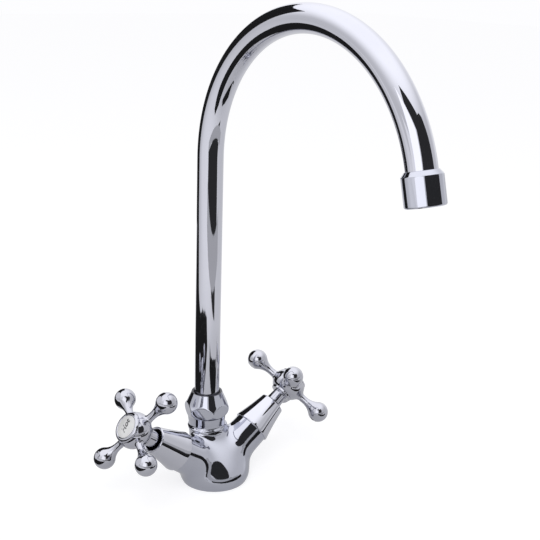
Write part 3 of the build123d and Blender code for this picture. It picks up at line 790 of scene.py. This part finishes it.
# %% Bezels
bezel_radius, bezel_height, bezel_floor = 10.7 * mm, 2.2 * mm, 0.7 * mm
bezel_shoulder, bezel_crest, bezel_bulge = 0.5 * mm, 8.6 * mm, 0.5 * mm
cup_radius, bezel_inner, bezel_spigot, spigot_radius = 8.95 * mm, 6.7 * mm, 2.7 * mm, 7.95 * mm
lip_inner, lip_slope, lip_drop, lip_under = 8.1 * mm, 0.35 * mm, 0.1 * mm, 1.55 * mm
bezel_softness = 0.1 * mm
bezel_top = hub_face + bezel_height


def bezel_outline():
    """Up the spigot, out, over the round slope and in to the lip."""
    bead_start = (bezel_radius, hub_face + bezel_shoulder)
    bead_end = (bezel_crest, bezel_top)
    rise, run = bead_end[1] - bead_start[1], bead_start[0] - bead_end[0]
    bulge = bezel_bulge / math.hypot(rise, run)
    bead_middle = (bezel_crest + run / 2 + bulge * rise, bezel_top - rise / 2 + bulge * run)
    outline = [(bezel_inner, hub_face - bezel_spigot), (spigot_radius, hub_face - bezel_spigot)]
    outline += [(spigot_radius, hub_face), (bezel_radius, hub_face), bead_start]
    outline += arc(bead_start, bead_middle, bead_end, 10)
    outline += [(lip_inner + lip_slope, bezel_top - lip_drop), (lip_inner, bezel_top - lip_slope)]
    outline += [(lip_inner, hub_face + lip_under), (cup_radius, hub_face + lip_under)]
    outline += [(cup_radius, hub_face + bezel_floor), (bezel_inner, hub_face + bezel_floor)]
    return outline


for name in sides:
    bezel = turn(name + "_index_bezel_skin", bezel_outline(), 128, hollow=True)
    soften(bezel, bezel_softness, 2)
    put(bezel, on_arm(name))
    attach(bezel, name + "_handle")
    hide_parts(name + "_index_bezel")

# %% Discs
index_radius, index_face_radius = 8.9 * mm, 8.05 * mm
index_step, index_edge, index_top, index_softness = 1.5 * mm, 2.0 * mm, 2.6 * mm, 0.2 * mm
index_crown = index_top - index_edge
crown_radius = (index_face_radius**2 + index_crown**2) / (2 * index_crown)


def crown_height(r):
    """The height of the disc's crown at this distance from its middle."""
    return hub_face + index_top - crown_radius + np.sqrt(crown_radius**2 - r**2)


def disc_outline():
    """Up the edge, over the step for the bezel's lip and in over the crown, to a small ring."""
    outline = [(index_radius, hub_face + bezel_floor), (index_radius, hub_face + index_step)]
    outline.append((index_face_radius, hub_face + index_step))
    rings = 16
    for k in range(rings):
        r = index_face_radius * (1 - k / rings)
        outline.append((r, float(crown_height(r))))
    return outline


for name in sides:
    disc = soften(turn(name + "_index_disc_skin", disc_outline(), 96), index_softness)
    put(disc, on_arm(name))
    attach(disc, name + "_handle")
    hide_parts(name + "_index_disc")

# %% [markdown]
# Each disc's mark is a plain word. A painted picture would blur when seen close, so the word is made as
# text, turned into a thin mesh and laid on the crown.

# %% Marks on the discs
# each word's size and the angle of its baseline about the arm's axis, in degrees
mark_words = {"left": ("Hot", 5.8 * mm, 97), "right": ("Cold", 4.9 * mm, 0)}
mark_slant, mark_thickness, mark_boldness = 0.35, 0.02 * mm, 0.14 * mm

for name, (word, size, baseline) in mark_words.items():
    deselect()
    bpy.ops.object.text_add()
    mark = bpy.context.active_object
    mark.name = name + "_index_mark"
    mark.data.body = word
    mark.data.size = size
    mark.data.shear = mark_slant
    mark.data.align_x = "CENTER"
    mark.data.align_y = "CENTER"
    mark.data.extrude = mark_thickness
    mark.data.offset = mark_boldness
    bpy.ops.object.convert(target="MESH")
    mark.data.name = mark.name
    put(mark, Matrix.Rotation(math.radians(baseline), 4, "Z"))
    for vertex in mark.data.vertices:
        vertex.co.z += float(crown_height(vertex.co.xy.length))
    smooth(mark)
    put(mark, on_arm(name))
    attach(mark, name + "_handle")
    print(mark.name, "faces", len(mark.data.polygons), "long", round(max(mark.dimensions) / mm, 1), "mm")

# %% [markdown]
# ## Finishes
# A real finish is never the same all over. Chrome has a faint haze where a cloth has wiped it and the long
# soft waves that the polishing wheel leaves, more on a casting than on a drawn tube. Each finish below is
# one short call: noise on object coordinates varies the colour, the roughness and the height a little.


# %% Small parts of shaders
def node(tree, kind, **settings):
    """Adds a shader node and sets its plain properties."""
    made = tree.nodes.new("ShaderNode" + kind)
    for setting, value in settings.items():
        setattr(made, setting, value)
    return made


def feed(tree, source, target):
    """Links an output to an input, or sets the input when the source is a plain value."""
    if isinstance(source, bpy.types.NodeSocket):
        tree.links.new(source, target)
    else:
        target.default_value = source


def arithmetic(tree, operation, first, second):
    """The answer of one arithmetic node."""
    made = node(tree, "Math", operation=operation)
    feed(tree, first, made.inputs[0])
    feed(tree, second, made.inputs[1])
    return made.outputs[0]


def soft_step(tree, value, start, end, low, high):
    """Runs smoothly from low to high while the value runs from start to end."""
    made = node(tree, "MapRange", interpolation_type="SMOOTHSTEP")
    names = ("Value", "From Min", "From Max", "To Min", "To Max")
    for name, source in zip(names, (value, start, end, low, high)):
        feed(tree, source, made.inputs[name])
    return made.outputs[0]


def towards(tree, vector, axis):
    """How far a vector reaches along this axis."""
    made = node(tree, "VectorMath", operation="DOT_PRODUCT")
    feed(tree, vector, made.inputs[0])
    feed(tree, axis, made.inputs[1])
    return made.outputs["Value"]


# %% One finish
def clouds(tree, size, detail=2.0):
    """Soft noise whose patches are about this size, in metres."""
    made = node(tree, "TexNoise")
    feed(tree, node(tree, "TexCoord").outputs["Object"], made.inputs["Vector"])
    made.inputs["Scale"].default_value = 1 / size
    made.inputs["Detail"].default_value = detail
    return made.outputs["Fac"]


def between(tree, amount, first, second):
    """A colour between two, by this amount."""
    made = node(tree, "Mix", data_type="RGBA")
    feed(tree, amount, made.inputs["Factor"])
    made.inputs["A"].default_value = (*first, 1)
    made.inputs["B"].default_value = (*second, 1)
    return made.outputs["Result"]


def finish(name, metallic, colours, roughness, haze, waves):
    """A material: colours and roughnesses in patches as large as the haze, and waves of (size, height)."""
    made = bpy.data.materials.new(name)
    made.use_nodes = True
    tree = made.node_tree
    shader = tree.nodes["Principled BSDF"]
    shader.inputs["Metallic"].default_value = metallic
    patches = soft_step(tree, clouds(tree, haze, 4.0), 0.35, 0.65, 0.0, 1.0)
    feed(tree, between(tree, patches, *colours), shader.inputs["Base Color"])
    smears = soft_step(tree, clouds(tree, haze / 3, 3.0), 0.3, 0.7, *roughness)
    feed(tree, smears, shader.inputs["Roughness"])
    larger_waves = None
    for size, height in waves:
        bump = node(tree, "Bump")
        bump.inputs["Strength"].default_value = 1
        bump.inputs["Distance"].default_value = height
        feed(tree, clouds(tree, size, 0.0), bump.inputs["Height"])
        if larger_waves is not None:
            feed(tree, larger_waves, bump.inputs["Normal"])
        larger_waves = bump.outputs["Normal"]
    feed(tree, larger_waves, shader.inputs["Normal"])
    print("finish:", name)
    return made


# %% Chrome and plating
tube_chrome = finish(
    "chrome on drawn and turned pieces", 1, ((0.582, 0.588, 0.65), (0.568, 0.574, 0.636)), (0.028, 0.055),
    30 * mm, [(25 * mm, 0.008 * mm)],
)
cast_chrome = finish(
    "chrome on the body and the fittings", 1, ((0.508, 0.52, 0.588), (0.488, 0.5, 0.57)), (0.035, 0.075),
    18 * mm, [(9 * mm, 0.012 * mm), (2.5 * mm, 0.0008 * mm)],
)
cross_chrome = finish(
    "chrome on the crosses", 1, ((0.505, 0.51, 0.562), (0.485, 0.49, 0.545)), (0.035, 0.07),
    14 * mm, [(7 * mm, 0.008 * mm), (2.5 * mm, 0.0008 * mm)],
)
# Dull plating painted near black: painted shade for the bells' inner walls and the nut's mouth.
dull_plating_painted_shade = finish(
    "plating inside the bells", 1, ((0.12, 0.12, 0.13), (0.07, 0.07, 0.078)), (0.3, 0.5),
    6 * mm, [(0.8 * mm, 0.01 * mm)],
)
# The valve bodies sit in the bells' shade. This dull plating is painted much darker than real plating, as
# painted shade.
nickel_and_painted_shade = finish(
    "dull nickel on the valve bodies", 1, ((0.3, 0.295, 0.3), (0.2, 0.196, 0.205)), (0.22, 0.42),
    4 * mm, [(0.5 * mm, 0.006 * mm)],
)

# %% Brass, steel and rubber
brass = finish(
    "bare turned brass", 1, ((0.64, 0.455, 0.2), (0.56, 0.38, 0.15)), (0.22, 0.38),
    5 * mm, [(0.6 * mm, 0.006 * mm)],
)
steel = finish(
    "stainless steel", 1, ((0.48, 0.48, 0.49), (0.4, 0.4, 0.41)), (0.2, 0.34),
    4 * mm, [(0.5 * mm, 0.004 * mm)],
)
rubber = finish(
    "matt black rubber", 0, ((0.022, 0.022, 0.023), (0.035, 0.034, 0.033)), (0.55, 0.8),
    5 * mm, [(0.4 * mm, 0.02 * mm)],
)

# %% Ceramic, plastic, glaze and ink
alumina = finish(
    "lapped ceramic", 0, ((0.8, 0.79, 0.74), (0.76, 0.745, 0.69)), (0.12, 0.26),
    4 * mm, [(0.3 * mm, 0.003 * mm)],
)
acetal = finish(
    "natural plastic", 0, ((0.72, 0.72, 0.69), (0.68, 0.675, 0.64)), (0.32, 0.48),
    6 * mm, [(0.7 * mm, 0.01 * mm)],
)
glaze = finish(
    "white glaze", 0, ((0.74, 0.74, 0.742), (0.69, 0.69, 0.692)), (0.1, 0.2),
    6 * mm, [(3 * mm, 0.01 * mm), (0.35 * mm, 0.001 * mm)],
)
ink = finish(
    "fired black mark", 0, ((0.012, 0.012, 0.016), (0.03, 0.03, 0.036)), (0.25, 0.4),
    1 * mm, [(0.3 * mm, 0.002 * mm)],
)
glaze_shader = glaze.node_tree.nodes["Principled BSDF"]
glaze_shader.inputs["Coat Weight"].default_value = 0.6
glaze_shader.inputs["Coat Roughness"].default_value = 0.04

# %% [markdown]
# Each modelled piece wears its own finish, and the imported pieces inside get theirs by what they are made
# of. The bells' inner walls and the nut's narrow mouth round the tube get a dull plating painted near black,
# as painted shade.


# %% Finishes on the pieces
def dress(piece, *materials):
    """Takes a piece's materials away and gives it these."""
    piece.data.materials.clear()
    for material in materials:
        piece.data.materials.append(material)


for piece in list(bpy.data.objects):
    if piece.type != "MESH" or not piece.name.endswith(("_skin", "_mark")):
        continue
    if piece.name.endswith("_mark"):
        dress(piece, ink)
    elif "disc" in piece.name:
        dress(piece, glaze)
    elif "casting" in piece.name or "nut" in piece.name or "housing" in piece.name:
        dress(piece, cast_chrome)
    elif "cross" in piece.name or "bezel" in piece.name:
        dress(piece, cross_chrome)
    else:
        dress(piece, tube_chrome)

# %% Painted shade inside the bells and round the tube
for name in sides:
    bell = bpy.data.objects[name + "_bell_shroud_skin"]
    dress(bell, tube_chrome, dull_plating_painted_shade)
    to_arm = on_arm(name).inverted()
    inner_faces = 0
    for face in bell.data.polygons:
        centre = to_arm @ face.center
        facing = to_arm.to_3x3() @ face.normal
        looks_inwards = facing.xy.dot(centre.xy.normalized()) < -0.5
        if looks_inwards and centre.z < mouth_z:
            # these inner faces take the painted shade
            face.material_index = 1
            inner_faces += 1
    print(bell.name, "faces inside", inner_faces)

dress(nut, cast_chrome, dull_plating_painted_shade)
mouth_faces = 0
for face in nut.data.polygons:
    from_axis = math.hypot(face.center.x, face.center.y - swivel_y)
    if face.center.z > nut_shoulder and from_axis < nut_bore + countersink:
        # the mouth's faces take the painted shade
        face.material_index = 1
        mouth_faces += 1
print(nut.name, "faces round the tube", mouth_faces)

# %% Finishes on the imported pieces
inner_finishes = {"brass": brass, "rubber": rubber, "alumina": alumina, "plastic": acetal, "steel": steel}
for name, piece in frame["nodes"].items():
    for place in piece.material_slots:
        slot_name = place.material.name.split(".")[0]
        # the bonnets take the darker plating, which is painted as shade
        if "bonnet" in name:
            place.material = nickel_and_painted_shade
        elif slot_name in inner_finishes:
            place.material = inner_finishes[slot_name]
        else:
            place.material = glaze if slot_name == "ceramic" else tube_chrome
print("finishes on", len(frame["nodes"]), "nodes")

# %% [markdown]
# ## The studio
# Polished chrome has no colour of its own: it shows the room. So the room is built with the same care as
# the tap. The photograph shows the tap on a pale table in a white room. Dark boards in front, behind and on
# the table give the chrome its black strips, and two bright panels at the front left give its highlights.


# %% Light without a lamp
def emission(tree, strength):
    """A glow of this strength, in a white that is a little blue."""
    made = node(tree, "Emission")
    made.inputs["Color"].default_value = (0.985, 0.985, 1.0, 1)
    feed(tree, strength, made.inputs["Strength"])
    return made.outputs[0]


# %% [markdown]
# The room is bright above and brighter on the window's side. Chrome mirrors it by height and direction. The
# camera sees plain white behind the tap, and all other light is even.

# %% The room's light
wall_level, window_level, ceiling_level = 0.80, 1.10, 1.58
even_level, backdrop_level = 0.75, 1.0
up, to_window = (-0.05, 0.19, 1.0), (0.82, 0.57, 0.0)
ceiling_fade, window_fade = (0.25, 0.92), (0.55, 0.95)
world = bpy.data.worlds.new("studio")
bpy.context.scene.world = world
world.use_nodes = True
tree = world.node_tree
tree.nodes.clear()
look = node(tree, "TexCoord").outputs["Generated"]
wall = soft_step(tree, towards(tree, look, to_window), *window_fade, wall_level, window_level)
room = emission(tree, soft_step(tree, towards(tree, look, up), *ceiling_fade, wall, ceiling_level))
path = node(tree, "LightPath")
mirrored = node(tree, "MixShader")
feed(tree, path.outputs["Is Glossy Ray"], mirrored.inputs[0])
feed(tree, emission(tree, even_level), mirrored.inputs[1])
feed(tree, room, mirrored.inputs[2])
seen = node(tree, "MixShader")
feed(tree, path.outputs["Is Camera Ray"], seen.inputs[0])
feed(tree, mirrored.outputs[0], seen.inputs[1])
feed(tree, emission(tree, backdrop_level), seen.inputs[2])
feed(tree, seen.outputs[0], node(tree, "OutputWorld").inputs[0])
print("room from", wall_level, "to", ceiling_level)

# %% [markdown]
# The table is matt. The camera sees it almost white. Chrome sees it darken near the tap, where the tap's real
# shadow falls and a painted shadow adds to it, and a painted pool of light makes it a little brighter towards
# the panels at the front left.

# %% Table
table_width, table_grey, table_white = 12, 0.36, 0.72
# reach and levels of a painted shadow near the tap and of a painted pool of light towards the panels, seen
# only in mirrors
painted_shadow_fade, painted_shadow_levels = (0.05, 0.40), (0.30, 0.50)
to_panels, painted_light_fade, painted_light_glow = (-0.75, -0.66, 0), (0.05, 0.60), (0.0, 0.22)
deselect()
bpy.ops.mesh.primitive_plane_add(size=table_width)
floor = bpy.context.active_object
floor.name = "floor"
table = bpy.data.materials.new("pale table")
table.use_nodes = True
tree = table.node_tree
tree.nodes.clear()
matt = node(tree, "BsdfDiffuse")
matt.inputs["Color"].default_value = (table_grey, table_grey, table_grey, 1)
place = node(tree, "TexCoord").outputs["Object"]
reach = node(tree, "VectorMath", operation="LENGTH")
feed(tree, place, reach.inputs[0])
# painted shadow: the mirrored glow is darker near the tap
painted_tap_shadow = soft_step(tree, reach.outputs["Value"], *painted_shadow_fade, *painted_shadow_levels)
# painted pool of light: the mirrored glow is brighter towards the bright panels
painted_panel_light = soft_step(tree, towards(tree, place, to_panels), *painted_light_fade, *painted_light_glow)
painted_table_light = arithmetic(tree, "ADD", painted_tap_shadow, painted_panel_light)
path = node(tree, "LightPath")
through = arithmetic(tree, "MAXIMUM", path.outputs["Is Camera Ray"], path.outputs["Is Transmission Ray"])
to_camera = arithmetic(tree, "MULTIPLY", through, table_white)
# the painted shadow and the painted light reach glossy rays only
to_mirror = arithmetic(tree, "MULTIPLY", path.outputs["Is Glossy Ray"], painted_table_light)
glow = emission(tree, arithmetic(tree, "ADD", to_camera, to_mirror))
both = node(tree, "AddShader")
feed(tree, matt.outputs[0], both.inputs[0])
feed(tree, glow, both.inputs[1])
feed(tree, both.outputs[0], node(tree, "OutputMaterial").inputs[0])
floor.data.materials.append(table)
print("table", table_width, "m wide")

# %% [markdown]
# The boards and panels are there for the chrome alone: the camera doesn't see them and they cast no shadow.
# Some lie on the table, some stand on it, and one leans over it. Corners and heights are in metres.


# %% Boards
def board(name, corners, strength):
    """A flat board that only mirrors see, with its corners in order round its edge."""
    deselect()
    bpy.ops.mesh.primitive_circle_add(vertices=len(corners), fill_type="NGON")
    piece = bpy.context.active_object
    piece.name = piece.data.name = name
    for vertex, corner in zip(piece.data.vertices, corners):
        vertex.co = corner
    paint = bpy.data.materials.new(name)
    paint.use_nodes = True
    tree = paint.node_tree
    tree.nodes.clear()
    feed(tree, emission(tree, strength), node(tree, "OutputMaterial").inputs[0])
    piece.data.materials.append(paint)
    piece.visible_camera = piece.visible_diffuse = piece.visible_shadow = False
    piece.visible_transmission = piece.visible_volume_scatter = False
    print(name, "of", len(corners), "corners, as bright as", strength)


def standing(name, left, right, low, high, strength):
    """An upright board from one foot point to another, between two heights."""
    board(name, [(*left, low), (*right, low), (*right, high), (*left, high)], strength)


def lying(name, corners, strength):
    """A board that lies on the table."""
    board(name, [(x, y, 1 * mm) for x, y in corners], strength)


black, dark, grey = 0.018, 0.036, 0.56
left_band = [
    (-0.17, -0.20), (-0.15, -0.08), (-0.11, 0.05), (-0.05, 0.12), (0.0, 0.20), (0.04, 0.30), (0.02, 0.75),
    (-0.50, 0.75), (-0.42, 0.50), (-0.33, 0.30), (-0.34, 0.15), (-0.38, 0.0), (-0.34, -0.15), (-0.26, -0.23),
]
beyond_edge = [(-0.78, -0.53), (0.32, -0.53), (0.9, -1.9), (-2.4, -1.9)]
front_patch = [(-0.06, -0.19), (0.07, -0.10), (0.17, -0.15), (0.10, -0.20), (0.0, -0.23)]
lying("left_band", left_band, black)
lying("beyond_edge", beyond_edge, dark)
lying("front_patch", front_patch, black)
standing("low_board", (-0.40, -0.56), (0.13, -0.305), 0, 0.12, dark)
standing("low_card", (-0.48, -0.30), (0.30, -0.29), 0.045, 0.105, grey)
standing("left_bar", (-0.06, -0.19), (0.07, -0.10), 0, 0.028, black)
standing("right_bar", (0.07, -0.10), (0.13, -0.095), 0, 0.024, black)
standing("far_bar", (0.13, -0.095), (0.20, -0.13), 0, 0.024, black)
standing("back_board", (-0.52, 0.75), (0.34, 0.75), 0, 0.93, black)

# %% The rounded board in front and the leaning board
# each entry: how far along from the right foot point to the left one, and the height
board_right, board_left = Vector((0.13, -0.305)), Vector((-0.22, -0.475))
board_edge = [
    (0.0, 0.24), (0.0, 0.36), (0.05, 0.42), (0.17, 0.45), (0.35, 0.465), (0.56, 0.52), (0.80, 0.56),
    (0.93, 0.53), (1.0, 0.45), (1.0, 0.24), (0.93, 0.17), (0.80, 0.135), (0.50, 0.12), (0.17, 0.125),
    (0.06, 0.17),
]
corners = [(*board_right.lerp(board_left, share), height) for share, height in board_edge]
board("front_board", corners, dark)
leaning = [
    (-0.27, -0.594, 0.579), (-0.46, -0.37, 0.653), (-0.424, -0.44, 0.93),
    (-0.095, -0.666, 0.886), (0.07, -0.67, 0.756),
]
board("leaning_board", leaning, dark)

# %% The bright panels
bright, softer = 1.7, 1.15
standing("bright_panel", (-0.41, -0.64), (-0.52, -0.21), 0.16, 0.65, bright)
standing("side_panel", (-0.62, -0.34), (-0.70, 0.0), 0.20, 0.40, softer)

# %% [markdown]
# One broad lamp at the front left gives the matt pieces their shading. The chrome doesn't mirror it.

# %% Lamp
lamp_place, lamp_target = Vector((-0.9, -0.9, 1.6)), Vector((0, 0, 0.1))
lamp_width, lamp_watts = 1.2, 14
deselect()
bpy.ops.object.light_add(type="AREA", location=lamp_place)
lamp = bpy.context.active_object
lamp.data.shape = "DISK"
lamp.data.size = lamp_width
lamp.data.energy = lamp_watts
lamp.rotation_euler = (lamp_target - lamp_place).to_track_quat("-Z", "Y").to_euler()
lamp.visible_glossy = False
bpy.context.scene.view_settings.view_transform = "Standard"
print("lamp of", lamp_watts, "W,", round((lamp_target - lamp_place).length, 2), "m away")
